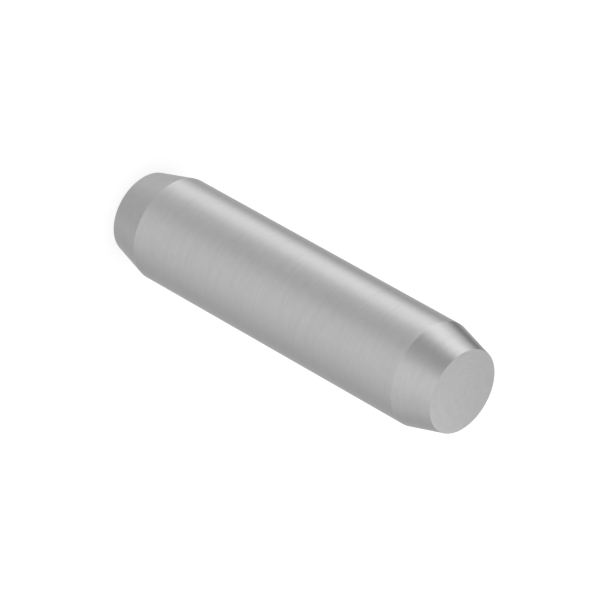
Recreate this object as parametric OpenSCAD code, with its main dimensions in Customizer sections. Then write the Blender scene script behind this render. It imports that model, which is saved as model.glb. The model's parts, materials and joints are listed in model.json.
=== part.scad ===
// Dowel pin: a hardened steel pin, ground to size along its shank, with a long
// tapered lead-in at each end. It stands on its lower end face. The origin is the
// centre of that face, and +Z runs up the axis of the pin.

/* [Pin] */
// Ground diameter of the shank, the size that the pin is ordered by
pin_d = 8; // [6:0.1:20]
// Overall length, from end face to end face
pin_length = 32; // [20:0.5:120]

/* [Lead-ins] */
// Length of each tapered lead-in, along the axis
lead_length = 3; // [1:0.1:5]
// Slope of a lead-in's wall, in degrees from the axis
lead_angle = 15; // [5:0.5:20]

/* [Edges] */
// Radius of the tumbled edge round each end face
edge_r = 0.05; // [0.02:0.01:0.3]
// Radius that eases each lead-in into the shank
shoulder_r = 0.2; // [0.05:0.05:2]

/* [Hidden] */
$fn = 128;

steel = [0.69, 0.69, 0.69];
corner_steps = 6;

pin_r = pin_d / 2;
face_r = pin_r - lead_length * tan(lead_angle);
lower_shoulder_z = lead_length;
upper_shoulder_z = pin_length - lead_length;

function unit(v) = v / norm(v);

// Points of an arc of radius r that rounds an outward corner, tangent to both of
// its sides, on an outline that runs counter-clockwise.
function rounded_corner(before, corner, after, r) =
    let (
        back = unit(before - corner),
        ahead = unit(after - corner),
        half_angle = acos(back * ahead) / 2,
        centre = corner + unit(back + ahead) * r / sin(half_angle),
        arc_start = corner + back * r / tan(half_angle) - centre,
        start_angle = atan2(arc_start.y, arc_start.x),
        sweep = 180 - 2 * half_angle
    )
    [for (i = [0 : corner_steps])
        let (angle = start_angle + sweep * i / corner_steps)
        centre + r * [cos(angle), sin(angle)]];

// Half of the pin's section: radius along x, height along y.
module half_section() {
    lower_centre = [0, 0];
    lower_edge = [face_r, 0];
    lower_shoulder = [pin_r, lower_shoulder_z];
    upper_shoulder = [pin_r, upper_shoulder_z];
    upper_edge = [face_r, pin_length];
    upper_centre = [0, pin_length];
    polygon(concat(
        [lower_centre],
        rounded_corner(lower_centre, lower_edge, lower_shoulder, edge_r),
        rounded_corner(lower_edge, lower_shoulder, upper_shoulder, shoulder_r),
        rounded_corner(lower_shoulder, upper_shoulder, upper_edge, shoulder_r),
        rounded_corner(upper_shoulder, upper_edge, upper_centre, edge_r),
        [upper_centre]
    ));
}

module dowel_pin() {
    color(steel)
        rotate_extrude()
            half_section();
}

dowel_pin();
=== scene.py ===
import json
from math import cos, radians, sin, tan

import bpy
import numpy as np
from mathutils import Matrix, Vector


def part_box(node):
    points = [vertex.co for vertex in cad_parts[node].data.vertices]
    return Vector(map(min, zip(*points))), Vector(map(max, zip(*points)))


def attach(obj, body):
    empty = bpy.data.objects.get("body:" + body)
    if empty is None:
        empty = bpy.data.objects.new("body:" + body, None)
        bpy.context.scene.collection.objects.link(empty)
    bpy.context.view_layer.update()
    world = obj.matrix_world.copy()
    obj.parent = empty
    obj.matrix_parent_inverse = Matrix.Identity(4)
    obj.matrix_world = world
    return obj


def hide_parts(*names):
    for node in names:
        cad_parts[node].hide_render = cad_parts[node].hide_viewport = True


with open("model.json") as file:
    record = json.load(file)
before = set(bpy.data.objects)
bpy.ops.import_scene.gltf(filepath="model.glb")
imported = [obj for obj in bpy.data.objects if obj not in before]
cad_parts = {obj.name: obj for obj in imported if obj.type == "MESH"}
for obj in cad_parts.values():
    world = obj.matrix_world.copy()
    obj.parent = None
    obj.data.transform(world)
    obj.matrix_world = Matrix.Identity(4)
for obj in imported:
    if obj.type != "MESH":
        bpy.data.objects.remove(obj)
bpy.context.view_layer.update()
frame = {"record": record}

# Dowel pin: one solid bar of hardened steel. The shank is ground between two wheels, the long lead-ins
# are ground on its ends, and the ends are cut off square. The pin is then tumbled, which leaves the whole
# of it an even satin and rounds its edges a little.

MM = 0.001
shank_mount = next(m for m in frame["record"]["mounts"] if m["name"] == "shank")
pin_r = shank_mount["dims"]["r_mm"] * MM
pin_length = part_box("dowel_pin")[1].z
pin_middle = pin_length / 2
lead_length = 3 * MM
lead_slope = radians(15)
face_r = pin_r - lead_length * tan(lead_slope)
square = radians(90)
edge_r = 0.05 * MM
shoulder_r = 0.2 * MM
points_around = 240


def rounding(r, h, radius, start, end, steps):
    """The round stretch of the section that takes off the corner at (r, h), as rows of (distance from
    the axis, height above the middle, angle of the outward normal). Its points are the centre +
    radius x (cos, sin) of each angle from start to end, and the centre lies inside the corner, where
    both of the corner's walls are one radius away."""
    turn = (end - start) / 2
    back = radius / cos(turn)
    centre_r = r - back * cos(start + turn)
    centre_h = h - back * sin(start + turn)
    angle = np.linspace(start, end, steps + 1)
    return np.stack([centre_r + radius * np.cos(angle), centre_h + radius * np.sin(angle), angle], 1)


def wall(first, last, rows):
    """A straight stretch of the section between two of its points, both left out, in even rows."""
    share = np.linspace(0, 1, rows + 2)[1:-1, None]
    return first + (last - first) * share


def upper_section():
    """The section from the middle of the shank to the centre of the upper end face: a straight wall,
    the shoulder's rounding, the straight lead-in, the rim's rounding and the flat face."""
    shoulder = rounding(pin_r, pin_middle - lead_length, shoulder_r, 0, lead_slope, steps=6)
    rim = rounding(face_r, pin_middle, edge_r, lead_slope, square, steps=10)
    middle = np.array([pin_r, 0, 0])
    centre = np.array([0, pin_middle, square])
    return np.concatenate([
        [middle], wall(middle, shoulder[0], rows=15),
        shoulder, wall(shoulder[-1], rim[0], rows=7),
        rim, wall(rim[-1], centre, rows=8), [centre],
    ])


def pin_mesh(around):
    """The section turned round the axis: each row (r, h, angle) gives a ring of points
    (r cos t, r sin t, h) for t round the circle, and each end closes in one point on the axis. The
    faces get material 0 on the shank, 1 on the lead-ins and 2 on the ends, by how far they lean."""
    upper = upper_section()
    lower = upper[:0:-1] * [1, -1, -1]
    section = np.concatenate([lower, upper])
    r, height, normal_angle = section[1:-1].T
    turn = np.arange(around) * 2 * np.pi / around
    ring = np.stack([np.cos(turn), np.sin(turn), np.zeros(around)], 1)
    axis = np.array([0, 0, 1])
    points = r[:, None, None] * ring + (pin_middle + height)[:, None, None] * axis
    normals = np.cos(normal_angle)[:, None, None] * ring + np.sin(normal_angle)[:, None, None] * axis
    rows = len(r)
    lower_pole, upper_pole = rows * around, rows * around + 1
    points = np.concatenate([points.reshape(-1, 3), axis * [[0], [pin_length]]])
    normals = np.concatenate([normals.reshape(-1, 3), axis * [[-1], [1]]])
    here = np.arange(around)
    following = (here + 1) % around
    row = np.arange(rows - 1)[:, None] * around
    quads = np.stack([row + here, row + following, row + around + following, row + around + here], -1)
    last = (rows - 1) * around
    lower_fan = np.stack([np.full(around, lower_pole), following, here], 1)
    upper_fan = np.stack([np.full(around, upper_pole), last + here, last + following], 1)
    faces = quads.reshape(-1, 4).tolist() + lower_fan.tolist() + upper_fan.tolist()
    lean = np.abs(normal_angle[:-1] + normal_angle[1:]) / 2
    band_material = (lean > lead_slope / 2).astype(int) + (lean > (lead_slope + square) / 2)
    material_index = np.concatenate([np.repeat(band_material, around), np.full(2 * around, 2)])
    mesh = bpy.data.meshes.new("pin")
    mesh.from_pydata(points, [], faces)
    mesh.polygons.foreach_set("use_smooth", np.ones(len(faces), bool))
    mesh.polygons.foreach_set("material_index", material_index)
    mesh.normals_split_custom_set_from_vertices(normals)
    mesh.update()
    return mesh


def calculate(tree, operation, *sources):
    """Adds a Math node to a node tree and gives its output. A source is a number or another output."""
    node = tree.nodes.new("ShaderNodeMath")
    node.operation = operation
    for socket, source in zip(node.inputs, sources):
        if isinstance(source, bpy.types.NodeSocket):
            tree.links.new(source, socket)
        else:
            socket.default_value = source
    return node.outputs[0]


def rise(tree, source, start, end, top=1):
    """Adds a node whose output is 0 where the source is at start and rises in a smooth step,
    t t (3 - 2 t), to top where it is at end. The end may be the lower of the two."""
    node = tree.nodes.new("ShaderNodeMapRange")
    node.interpolation_type = "SMOOTHSTEP"
    node.inputs["From Min"].default_value = start
    node.inputs["From Max"].default_value = end
    node.inputs["To Max"].default_value = top
    tree.links.new(source, node.inputs["Value"])
    return node.outputs["Result"]


def noise(tree, place, size, detail, roughness=0.5):
    """Adds even noise from 0 to 1, with features of the given size. It sums detail + 1 layers, each of
    half the size of the one before and roughness times its weight."""
    node = tree.nodes.new("ShaderNodeTexNoise")
    node.inputs["Scale"].default_value = 1 / size
    node.inputs["Detail"].default_value = detail
    node.inputs["Roughness"].default_value = roughness
    tree.links.new(place, node.inputs["Vector"])
    return node.outputs["Fac"]


grain_size = 0.15 * MM
mottle_size = 0.5 * MM
cloud_size = 4 * MM
score_width = 3
score_start = 0.64
score_full = 0.74
dent_spacing = 1.5 * MM
dent_reach = 0.08
edge_reach = 0.2 * MM


def steel_surface():
    """Node group for what grinding, cutting and tumbling leave on the steel. Across is the height on a
    wall and the distance from the axis on an end face. Each output runs from 0 to 1, but From Axis.
    Lines: noise of (x / Length, y / Length, Across / Spacing), long round the axis and fast across it.
    Scores: noise of the same in fewer layers and score_width times as wide, which rises from 0 at
    score_start to 1 at score_full, for a few deeper lines.
    Grain, Mottle and Cloud: even noise of three sizes.
    Dents: bowls 1 - (distance / reach) squared round points scattered through the steel. Their distance
    and reach are shares of dent_spacing.
    Edges: 1 on the rims of the end faces and on the shoulders, and 0 from edge_reach away."""
    group = bpy.data.node_groups.new("steel_surface", "ShaderNodeTree")
    for name in ("On End", "Length", "Spacing"):
        group.interface.new_socket(name, in_out="INPUT", socket_type="NodeSocketFloat")
    for name in ("Lines", "Scores", "Grain", "Mottle", "Cloud", "Dents", "Edges", "From Axis"):
        group.interface.new_socket(name, in_out="OUTPUT", socket_type="NodeSocketFloat")
    given = group.nodes.new("NodeGroupInput").outputs
    results = group.nodes.new("NodeGroupOutput").inputs
    place = group.nodes.new("ShaderNodeTexCoord").outputs["Object"]
    apart = group.nodes.new("ShaderNodeSeparateXYZ")
    group.links.new(place, apart.inputs[0])
    x, y, z = apart.outputs
    from_axis = calculate(group, "SQRT", calculate(group, "ADD", calculate(group, "POWER", x, 2),
                                                   calculate(group, "POWER", y, 2)))
    across = calculate(group, "ADD", calculate(group, "MULTIPLY", from_axis, given["On End"]),
                       calculate(group, "MULTIPLY", z, calculate(group, "SUBTRACT", 1, given["On End"])))
    drawn_out = group.nodes.new("ShaderNodeCombineXYZ")
    for socket, source, unit in zip(drawn_out.inputs, (x, y, across), ("Length", "Length", "Spacing")):
        group.links.new(calculate(group, "DIVIDE", source, given[unit]), socket)
    lines = noise(group, drawn_out.outputs[0], 1, 3, roughness=0.7)
    scores_and_shade = rise(group, noise(group, drawn_out.outputs[0], score_width, 1), score_start, score_full)

    scatter = group.nodes.new("ShaderNodeTexVoronoi")
    scatter.inputs["Scale"].default_value = 1 / dent_spacing
    group.links.new(place, scatter.inputs["Vector"])
    share = calculate(group, "DIVIDE", scatter.outputs["Distance"], dent_reach)
    bowl = calculate(group, "SUBTRACT", 1, calculate(group, "POWER", share, 2))
    dents_and_shade = calculate(group, "MAXIMUM", bowl, 0)

    from_end = calculate(group, "SUBTRACT", pin_middle,
                         calculate(group, "ABSOLUTE", calculate(group, "SUBTRACT", z, pin_middle)))
    gaps = []
    for edge_radius, edge_from_end in [(face_r, 0), (pin_r, lead_length)]:
        aside = calculate(group, "SUBTRACT", from_axis, edge_radius)
        along = calculate(group, "SUBTRACT", from_end, edge_from_end)
        gaps.append(calculate(group, "SQRT", calculate(group, "ADD", calculate(group, "POWER", aside, 2),
                                                       calculate(group, "POWER", along, 2))))
    edges = rise(group, calculate(group, "MINIMUM", *gaps), edge_reach, 0)

    for name, source in [("Lines", lines), ("Scores", scores_and_shade), ("Grain", noise(group, place, grain_size, 2)),
                         ("Mottle", noise(group, place, mottle_size, 2)),
                         ("Cloud", noise(group, place, cloud_size, 2)),
                         ("Dents", dents_and_shade), ("Edges", edges), ("From Axis", from_axis)]:
        group.links.new(source, results[name])
    return group


surface = steel_surface()
dark_steel = (0.365, 0.365, 0.365, 1)
light_steel = (0.485, 0.485, 0.485, 1)
rough_steel = 0.32
smooth_steel = 0.28
dent_depth = 0.002 * MM


def satin_steel(name, on_end, spacing, length, depth, grain_depth, dome=0):
    """Bare steel. Its height is depth x (Lines - 0.5 Scores) + grain_depth x Grain - dent_depth x Dents,
    and an end face falls away from its centre by dome x (distance from the axis / face radius) squared.
    The metal is a little lighter on the tops of the lines and along the edges, and smoother along the edges
    and where the tumbling took best.
    Its colour is also painted darker in the scores and dents, as painted shade in these hollows."""
    material = bpy.data.materials.new(name)
    material.use_nodes = True
    tree = material.node_tree
    shader = tree.nodes["Principled BSDF"]
    shader.inputs["Metallic"].default_value = 1
    marked = tree.nodes.new("ShaderNodeGroup")
    marked.node_tree = surface
    marked.inputs["On End"].default_value = on_end
    marked.inputs["Spacing"].default_value = spacing
    marked.inputs["Length"].default_value = length
    lines, scores_and_shade, grain, mottle, cloud, dents_and_shade, edges, from_axis = marked.outputs

    def scaled(source, factor):
        return calculate(tree, "MULTIPLY", source, factor)

    def plus(*sources):
        total = sources[0]
        for source in sources[1:]:
            total = calculate(tree, "ADD", total, source)
        return total

    tone = tree.nodes.new("ShaderNodeMix")
    tone.data_type = "RGBA"
    tone.inputs["A"].default_value = dark_steel
    tone.inputs["B"].default_value = light_steel
    # Painted shade: the scores and dents darken the base colour, as shade in these hollows would. The lines,
    # mottle and worn edges are the steel's own tone.
    tree.links.new(plus(scaled(lines, 0.7), scaled(mottle, 0.3), scaled(edges, 0.1),
                        scaled(scores_and_shade, -0.1), scaled(dents_and_shade, -0.15)), tone.inputs["Factor"])
    tree.links.new(tone.outputs["Result"], shader.inputs["Base Color"])
    gloss = tree.nodes.new("ShaderNodeMapRange")
    gloss.inputs["To Min"].default_value = rough_steel
    gloss.inputs["To Max"].default_value = smooth_steel
    tree.links.new(plus(cloud, scaled(edges, 0.3), scaled(scores_and_shade, -0.3)), gloss.inputs["Value"])
    tree.links.new(gloss.outputs["Result"], shader.inputs["Roughness"])

    height = plus(scaled(lines, depth), scaled(scores_and_shade, -0.5 * depth), scaled(grain, grain_depth),
                  scaled(dents_and_shade, -dent_depth))
    if dome:
        share = calculate(tree, "DIVIDE", from_axis, face_r)
        height = plus(height, scaled(calculate(tree, "POWER", share, 2), -dome))
    bump = tree.nodes.new("ShaderNodeBump")
    bump.inputs["Distance"].default_value = 1
    tree.links.new(height, bump.inputs["Height"])
    tree.links.new(bump.outputs["Normal"], shader.inputs["Normal"])
    return material


pin = bpy.data.objects.new("pin", pin_mesh(points_around))
bpy.context.scene.collection.objects.link(pin)
for finish in [
    satin_steel("ground_shank", on_end=0, spacing=0.12 * MM, length=3 * MM,
                depth=0.003 * MM, grain_depth=0.0008 * MM),
    satin_steel("ground_lead_in", on_end=0, spacing=0.1 * MM, length=2 * MM,
                depth=0.0024 * MM, grain_depth=0.0008 * MM),
    satin_steel("cut_end", on_end=1, spacing=0.2 * MM, length=1.2 * MM,
                depth=0.003 * MM, grain_depth=0.002 * MM, dome=0.1 * MM),
]:
    pin.data.materials.append(finish)
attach(pin, "root")
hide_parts("dowel_pin")

# Floor: a plain white sheet under the pin. The camera sees it, with the pin's soft shadow, but it keeps
# out of the pin's reflections and lets the tent light the pin from below too. For the camera it also
# glows, so that with the tent's light on it it is white but for the shadow.

floor_half = 3.0
sheet_grey = (0.4, 0.4, 0.4, 1)
sheet_glow = 0.68
floor_mesh = bpy.data.meshes.new("floor")
corners = [(-floor_half, -floor_half, 0), (floor_half, -floor_half, 0),
           (floor_half, floor_half, 0), (-floor_half, floor_half, 0)]
floor_mesh.from_pydata(corners, [], [(0, 1, 2, 3)])
floor = bpy.data.objects.new("floor", floor_mesh)
bpy.context.scene.collection.objects.link(floor)
floor.visible_diffuse = False
floor.visible_glossy = False
floor.visible_transmission = False
floor.visible_shadow = False
floor_material = bpy.data.materials.new("white_sheet")
floor_material.use_nodes = True
tree = floor_material.node_tree
tree.nodes.clear()
sheet = tree.nodes.new("ShaderNodeBsdfDiffuse")
sheet.inputs["Color"].default_value = sheet_grey
glow = tree.nodes.new("ShaderNodeEmission")
glow.inputs["Color"].default_value = (1, 1, 1, 1)
camera_ray = tree.nodes.new("ShaderNodeLightPath").outputs["Is Camera Ray"]
tree.links.new(calculate(tree, "MULTIPLY", camera_ray, sheet_glow), glow.inputs["Strength"])
both = tree.nodes.new("ShaderNodeAddShader")
tree.links.new(sheet.outputs[0], both.inputs[0])
tree.links.new(glow.outputs[0], both.inputs[1])
tree.links.new(both.outputs[0], tree.nodes.new("ShaderNodeOutputMaterial").inputs["Surface"])
floor_mesh.materials.append(floor_material)

# Light: the pin stands inside an even white tent, with soft boxes and dark flags round it. A panel adds
# its strength to the tent's level, all of it at its middle, and fades to nothing at its half width by a
# smoothstep of the cosine of the angle from its middle. A flag's strength is below zero.

tent_level = 1
# name, azimuth from +Y towards +X, elevation, half width (degrees), strength
tent_panels = [
    ("left soft box", -85, -15, 40, 0.8),
    ("left flag", -55, -10, 35, -0.7),
    ("front flag", -150, -5, 40, -0.4),
    ("back flag", 15, -35, 80, -0.35),
    ("right fill", 160, 0, 60, 0.2),
    ("end soft box", 30, 35, 30, 0.45),
    ("floor flag", 180, -70, 35, -0.2),
]
world = bpy.data.worlds.new("tent")
world.use_nodes = True
bpy.context.scene.world = world
tree = world.node_tree
tree.nodes.clear()
ray = tree.nodes.new("ShaderNodeTexCoord").outputs["Generated"]
light = tent_level
for name, azimuth, elevation, half_width, strength in tent_panels:
    facing = tree.nodes.new("ShaderNodeVectorMath")
    facing.label = name
    facing.operation = "DOT_PRODUCT"
    az, el = radians(azimuth), radians(elevation)
    facing.inputs[1].default_value = (cos(el) * sin(az), cos(el) * cos(az), sin(el))
    tree.links.new(ray, facing.inputs[0])
    panel = rise(tree, facing.outputs["Value"], cos(radians(half_width)), 1, strength)
    light = calculate(tree, "ADD", light, panel)
tent = tree.nodes.new("ShaderNodeBackground")
tent.inputs["Color"].default_value = (1, 1, 1, 1)
tree.links.new(light, tent.inputs["Strength"])
white = tree.nodes.new("ShaderNodeBackground")
white.inputs["Color"].default_value = (1, 1, 1, 1)
seen = tree.nodes.new("ShaderNodeMixShader")
tree.links.new(tree.nodes.new("ShaderNodeLightPath").outputs["Is Camera Ray"], seen.inputs["Fac"])
tree.links.new(tent.outputs[0], seen.inputs[1])
tree.links.new(white.outputs[0], seen.inputs[2])
tree.links.new(seen.outputs[0], tree.nodes.new("ShaderNodeOutputWorld").inputs["Surface"])

# Camera: looks down on the upper end from about 37 degrees above level, and is rolled so that the axis
# of the standing pin runs from the upper left of the view to the lower right.

view_elevation = radians(36.55)
axis_slope = radians(29.37)
distance = 381.1 * MM
aim = Vector((0, 0, 15.97 * MM))
camera_data = bpy.data.cameras.new("camera")
camera_data.sensor_width = 36
camera_data.lens = 323.1
camera = bpy.data.objects.new("camera", camera_data)
bpy.context.scene.collection.objects.link(camera)
bpy.context.scene.camera = camera
towards = Vector((0, -cos(view_elevation), sin(view_elevation)))
level_right = Vector((1, 0, 0))
level_up = towards.cross(level_right)
right = cos(axis_slope) * level_up - sin(axis_slope) * level_right
up = -sin(axis_slope) * level_up - cos(axis_slope) * level_right
turned = Matrix((right, up, towards)).transposed().to_4x4()
camera.matrix_world = Matrix.Translation(aim + distance * towards) @ turned

bpy.context.scene.view_settings.view_transform = "Standard"
